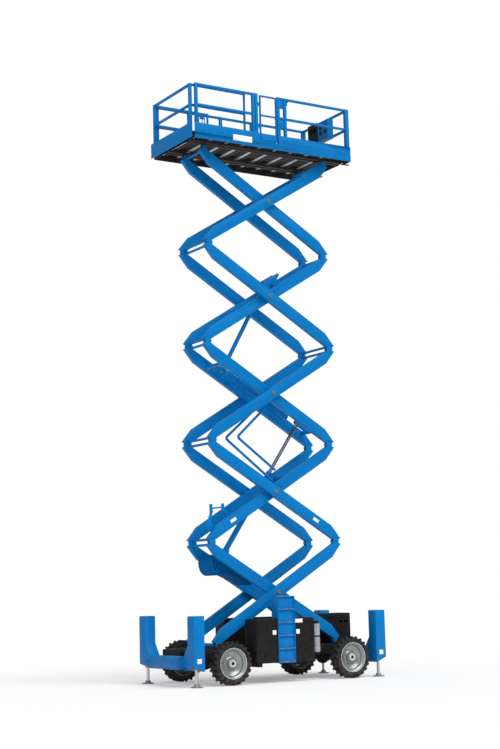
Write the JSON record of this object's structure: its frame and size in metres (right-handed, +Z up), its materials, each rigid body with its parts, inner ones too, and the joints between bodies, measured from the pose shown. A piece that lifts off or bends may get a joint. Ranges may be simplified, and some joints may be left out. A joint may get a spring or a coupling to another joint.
{
  "type": "rough-terrain scissor lift",
  "caption": "Self-propelled scissor lift: stacked crossed arms raise a railed platform from a wheeled chassis with outrigger towers.",
  "frame": {"origin": "on the ground under the middle of the machine", "axes": "+X along the machine towards the steered end, -Y the ladder side, +Z up"},
  "size_m": [4.756, 2.28, 12.1968],
  "materials": {
    "blue_paint": "semi-gloss bright blue enamel",
    "black_paint": "satin black enamel",
    "black_plastic": "moulded black cover",
    "tyre_rubber": "black rubber",
    "rim_paint": "light grey enamel",
    "chrome": "polished chrome",
    "dark_steel": "dark galvanised",
    "engine_grey": "cast iron",
    "canister_grey": "pale grey enamel"
  },
  "bodies": {
    "chassis": {"chassis_frame": "black_paint", "rear_outrigger_frame": "blue_paint", "front_outrigger_frame": "blue_paint", "rear_axle": "black_paint", "front_axle": "black_paint", "near_module": "black_plastic", "end_tank_box": "black_plastic", "ladder": "blue_paint", "canister": "canister_grey"},
    "engine_tray": {"engine_cover": "black_plastic", "engine": "engine_grey"},
    "near_knuckle": {"near_knuckle": "dark_steel"},
    "far_knuckle": {"far_knuckle": "dark_steel"},
    "rear_near_wheel": {"rear_near_tyre": "tyre_rubber", "rear_near_rim": "rim_paint"},
    "rear_near_leg": {"rear_near_outrigger_leg": "chrome"},
    "rear_far_wheel": {"rear_far_tyre": "tyre_rubber", "rear_far_rim": "rim_paint"},
    "rear_far_leg": {"rear_far_outrigger_leg": "chrome"},
    "front_near_wheel": {"front_near_tyre": "tyre_rubber", "front_near_rim": "rim_paint"},
    "front_near_leg": {"front_near_outrigger_leg": "chrome"},
    "front_far_wheel": {"front_far_tyre": "tyre_rubber", "front_far_rim": "rim_paint"},
    "front_far_leg": {"front_far_outrigger_leg": "chrome"},
    "stage_1_outer": {"stage_1_outer_arms": "blue_paint"},
    "stage_1_inner": {"stage_1_inner_arms": "blue_paint"},
    "stage_2_inner": {"stage_2_inner_arms": "blue_paint"},
    "stage_2_outer": {"stage_2_outer_arms": "blue_paint"},
    "stage_3_outer": {"stage_3_outer_arms": "blue_paint"},
    "stage_3_inner": {"stage_3_inner_arms": "blue_paint"},
    "stage_4_inner": {"stage_4_inner_arms": "blue_paint"},
    "stage_4_outer": {"stage_4_outer_arms": "blue_paint"},
    "stage_5_outer": {"stage_5_outer_arms": "blue_paint"},
    "stage_5_inner": {"stage_5_inner_arms": "blue_paint"},
    "lower_lift_barrel": {"lower_lift_barrel": "blue_paint"},
    "lower_lift_rod": {"lower_lift_rod": "chrome"},
    "upper_lift_barrel": {"upper_lift_barrel": "blue_paint"},
    "upper_lift_rod": {"upper_lift_rod": "chrome"},
    "platform": {"platform_deck": "blue_paint", "platform_rails": "blue_paint", "control_box": "black_plastic"},
    "extension": {"extension_deck": "blue_paint"},
    "gate": {"entry_gate": "blue_paint"}
  },
  "joints": [
    {"name": "lift", "type": "hinge", "parent": "chassis", "child": "stage_1_outer", "pos_m": [-1.381, 0, 0.758], "axis": [0, -1, 0], "range_deg": [-31.3, 23.8]},
    {"name": "stage_1_centre_pin", "type": "hinge", "parent": "stage_1_outer", "child": "stage_1_inner", "pos_m": [0.07612, 0, 1.78208], "axis": [0, -1, 0], "range_deg": [-47.65, 62.65]},
    {"name": "stage_2_side_pin", "type": "hinge", "parent": "stage_1_inner", "child": "stage_2_inner", "pos_m": [-1.381, 0, 2.80617], "axis": [0, -1, 0], "range_deg": [-62.65, 47.65]},
    {"name": "stage_2_centre_pin", "type": "hinge", "parent": "stage_2_inner", "child": "stage_2_outer", "pos_m": [0.07612, 0, 3.83025], "axis": [0, -1, 0], "range_deg": [-47.65, 62.65]},
    {"name": "stage_3_side_pin", "type": "hinge", "parent": "stage_2_outer", "child": "stage_3_outer", "pos_m": [-1.381, 0, 4.85434], "axis": [0, -1, 0], "range_deg": [-62.65, 47.65]},
    {"name": "stage_3_centre_pin", "type": "hinge", "parent": "stage_3_outer", "child": "stage_3_inner", "pos_m": [0.07612, 0, 5.87842], "axis": [0, -1, 0], "range_deg": [-47.65, 62.65]},
    {"name": "stage_4_side_pin", "type": "hinge", "parent": "stage_3_inner", "child": "stage_4_inner", "pos_m": [-1.381, 0, 6.90251], "axis": [0, -1, 0], "range_deg": [-62.65, 47.65]},
    {"name": "stage_4_centre_pin", "type": "hinge", "parent": "stage_4_inner", "child": "stage_4_outer", "pos_m": [0.07612, 0, 7.92659], "axis": [0, -1, 0], "range_deg": [-47.65, 62.65]},
    {"name": "stage_5_side_pin", "type": "hinge", "parent": "stage_4_outer", "child": "stage_5_outer", "pos_m": [-1.381, 0, 8.95067], "axis": [0, -1, 0], "range_deg": [-62.65, 47.65]},
    {"name": "stage_5_centre_pin", "type": "hinge", "parent": "stage_5_outer", "child": "stage_5_inner", "pos_m": [0.07612, 0, 9.97476], "axis": [0, -1, 0], "range_deg": [-47.65, 62.65]},
    {"name": "platform_pin", "type": "hinge", "parent": "stage_5_inner", "child": "platform", "pos_m": [-1.381, 0, 10.99884], "axis": [0, -1, 0], "range_deg": [-31.35, 23.85]},
    {"name": "lower_lift_barrel_pivot", "type": "hinge", "parent": "stage_1_inner", "child": "lower_lift_barrel", "pos_m": [-0.84021, 0, 2.63814], "axis": [0, -1, 0], "range_deg": [-79.98, 60.83]},
    {"name": "lower_lift_rod_slide", "type": "slide", "parent": "lower_lift_barrel", "child": "lower_lift_rod", "axis": [0.5669, 0, 0.8238], "range_m": [-0.9814, 0.7467]},
    {"name": "upper_lift_barrel_pivot", "type": "hinge", "parent": "stage_3_inner", "child": "upper_lift_barrel", "pos_m": [-0.80962, 0, 6.37736], "axis": [0, -1, 0], "range_deg": [-72.22, 54.93]},
    {"name": "upper_lift_rod_slide", "type": "slide", "parent": "upper_lift_barrel", "child": "upper_lift_rod", "axis": [0.4944, 0, 0.8692], "range_m": [-0.7461, 0.5678]},
    {"name": "rear_near_wheel_spin", "type": "hinge", "parent": "chassis", "child": "rear_near_wheel", "pos_m": [-1.355, -0.985, 0.425], "axis": [0, 1, 0], "continuous": true},
    {"name": "rear_far_wheel_spin", "type": "hinge", "parent": "chassis", "child": "rear_far_wheel", "pos_m": [-1.355, 0.985, 0.425], "axis": [0, 1, 0], "continuous": true},
    {"name": "near_steering", "type": "hinge", "parent": "chassis", "child": "near_knuckle", "pos_m": [1.49, -0.8, 0.425], "axis": [0, 0, 1], "range_deg": [-28, 28]},
    {"name": "front_near_wheel_spin", "type": "hinge", "parent": "near_knuckle", "child": "front_near_wheel", "pos_m": [1.49, -0.985, 0.425], "axis": [0, 1, 0], "continuous": true},
    {"name": "far_steering", "type": "hinge", "parent": "chassis", "child": "far_knuckle", "pos_m": [1.49, 0.8, 0.425], "axis": [0, 0, 1], "range_deg": [-28, 28]},
    {"name": "front_far_wheel_spin", "type": "hinge", "parent": "far_knuckle", "child": "front_far_wheel", "pos_m": [1.49, 0.985, 0.425], "axis": [0, 1, 0], "continuous": true},
    {"name": "rear_near_outrigger", "type": "slide", "parent": "chassis", "child": "rear_near_leg", "axis": [0, 0, 1], "range_m": [-0.25, 0.24]},
    {"name": "rear_far_outrigger", "type": "slide", "parent": "chassis", "child": "rear_far_leg", "axis": [0, 0, 1], "range_m": [-0.25, 0.24]},
    {"name": "front_near_outrigger", "type": "slide", "parent": "chassis", "child": "front_near_leg", "axis": [0, 0, 1], "range_m": [-0.25, 0.24]},
    {"name": "front_far_outrigger", "type": "slide", "parent": "chassis", "child": "front_far_leg", "axis": [0, 0, 1], "range_m": [-0.25, 0.24]},
    {"name": "extension_roll_out", "type": "slide", "parent": "platform", "child": "extension", "axis": [-1, 0, 0], "range_m": [0, 1.2]},
    {"name": "gate_hinge", "type": "hinge", "parent": "platform", "child": "gate", "pos_m": [-0.293, -0.857, 11.6], "axis": [0, 0, 1], "range_deg": [0, 88]},
    {"name": "engine_tray_swing", "type": "hinge", "parent": "chassis", "child": "engine_tray", "pos_m": [-0.447, 0.7, 0.7], "axis": [0, 0, 1], "range_deg": [0, 50]}
  ],
  "couplings": [
    {"joint": "stage_1_centre_pin", "follows": "lift", "ratio": -2},
    {"joint": "stage_2_side_pin", "follows": "lift", "ratio": 2},
    {"joint": "stage_2_centre_pin", "follows": "lift", "ratio": -2},
    {"joint": "stage_3_side_pin", "follows": "lift", "ratio": 2},
    {"joint": "stage_3_centre_pin", "follows": "lift", "ratio": -2},
    {"joint": "stage_4_side_pin", "follows": "lift", "ratio": 2},
    {"joint": "stage_4_centre_pin", "follows": "lift", "ratio": -2},
    {"joint": "stage_5_side_pin", "follows": "lift", "ratio": 2},
    {"joint": "stage_5_centre_pin", "follows": "lift", "ratio": -2},
    {"joint": "platform_pin", "follows": "lift", "ratio": 1},
    {"joint": "lower_lift_barrel_pivot", "follows": "lift", "ratio": 2.5537},
    {"joint": "lower_lift_rod_slide", "follows": "lift", "m_per_rad": 1.7929},
    {"joint": "upper_lift_barrel_pivot", "follows": "lift", "ratio": 2.3058},
    {"joint": "upper_lift_rod_slide", "follows": "lift", "m_per_rad": 1.3621}
  ]
}
